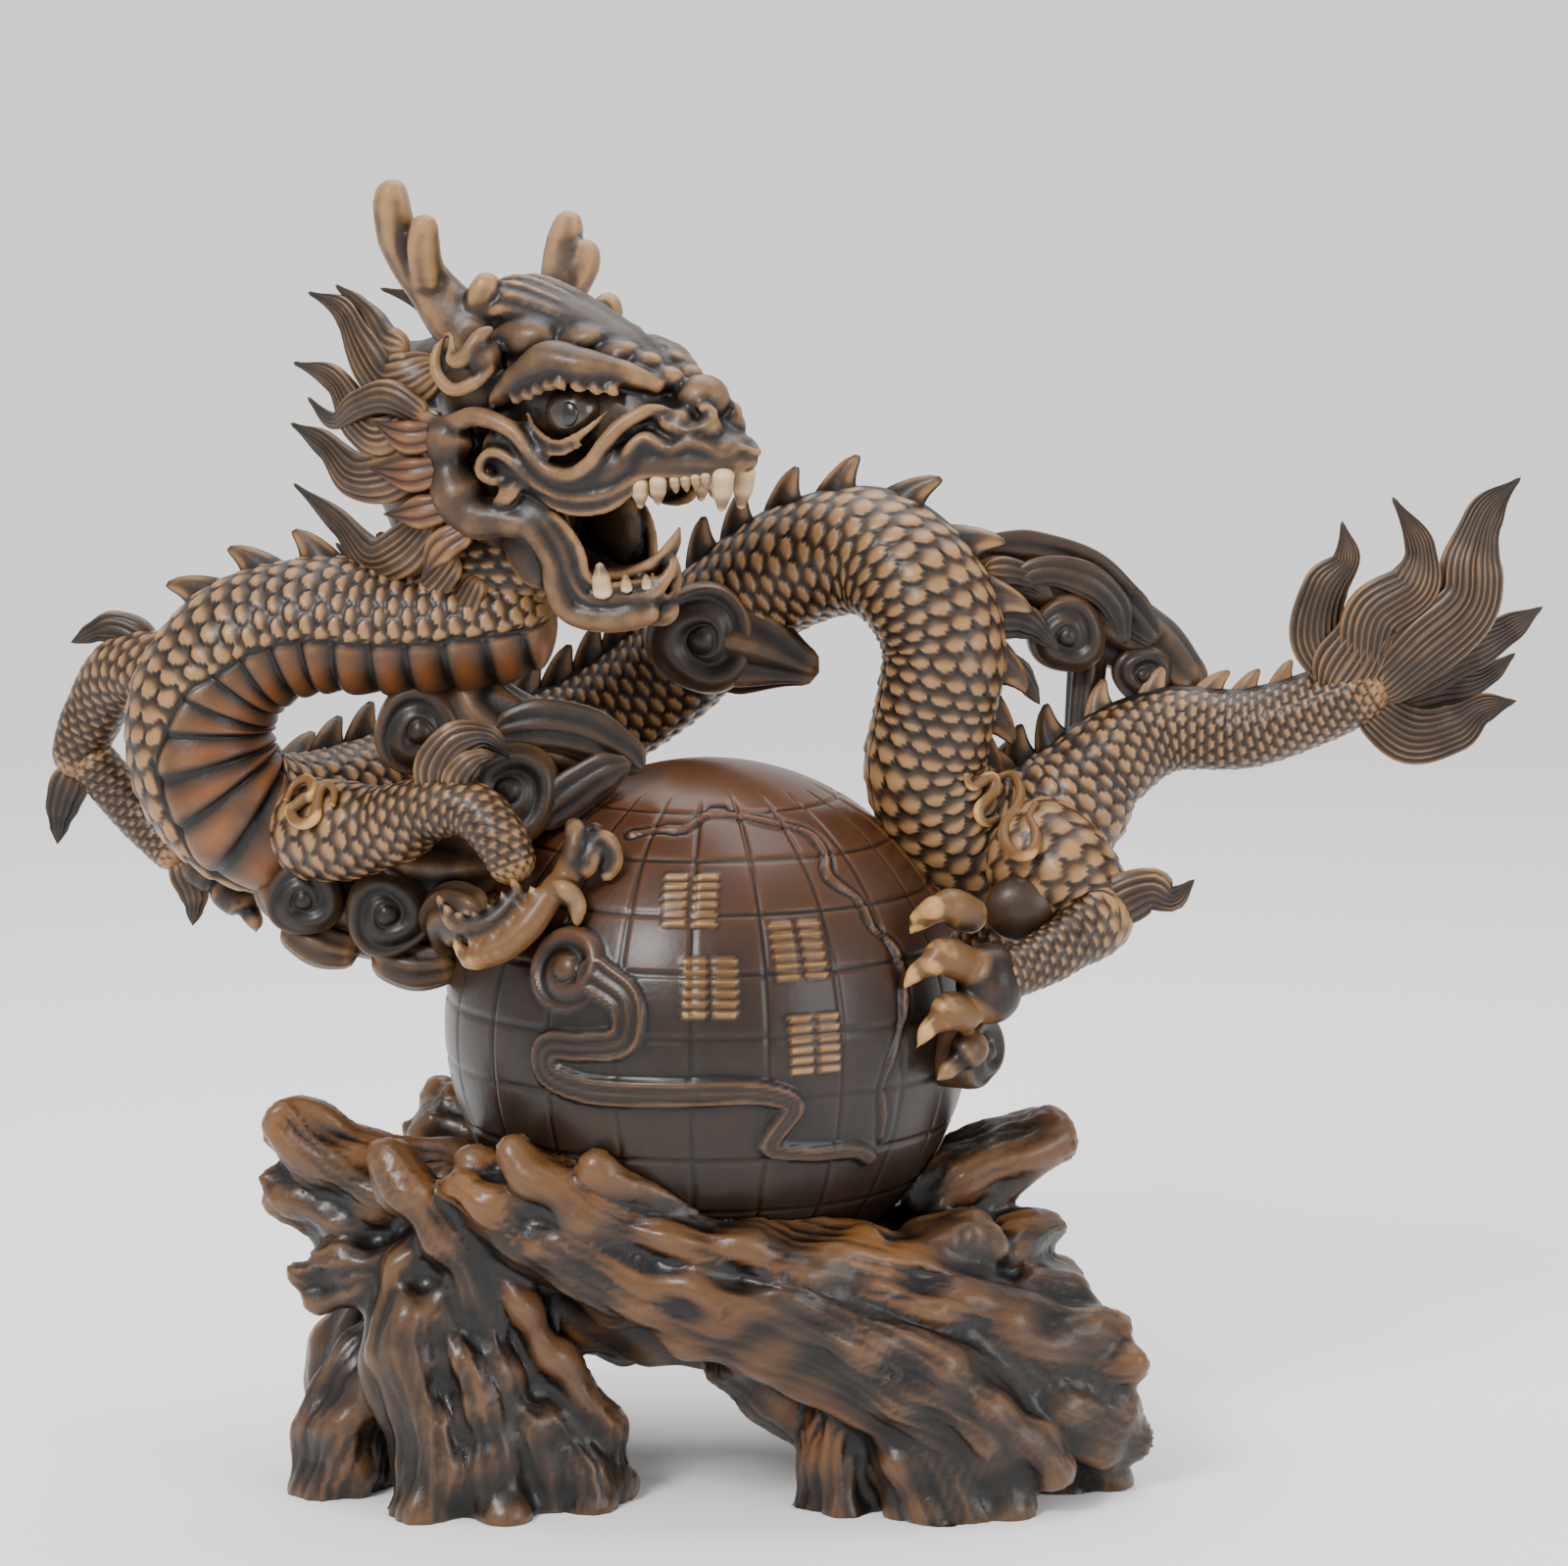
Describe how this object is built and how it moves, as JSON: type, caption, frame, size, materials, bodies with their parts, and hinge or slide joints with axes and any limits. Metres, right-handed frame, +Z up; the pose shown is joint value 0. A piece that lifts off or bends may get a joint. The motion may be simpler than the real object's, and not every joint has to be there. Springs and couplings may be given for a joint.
{
  "type": "dragon sculpture",
  "caption": "Cast dragon coiled over a globe that sits in a root-wood stand; a display ornament that stands on the feet of the stand.",
  "frame": {"origin": "middle of the underside: the bottom centre of the whole sculpture's box, on the surface it stands on", "axes": "+X towards the tail, the long way of the sculpture, -Y towards the side it is seen from, +Z up"},
  "size_m": [0.543, 0.1906, 0.4674],
  "materials": {
    "dragon": "cast resin, dark brown with tan dry-brushed edges, satin",
    "globe": "cast resin, polished dark brown with engraved lines, semi-gloss",
    "root_stand": "cast resin in the look of root wood, brown with orange-brown edges, satin"
  },
  "bodies": {
    "root": {"dragon": "dragon", "globe": "globe", "root_stand": "root_stand"}
  },
  "joints": []
}
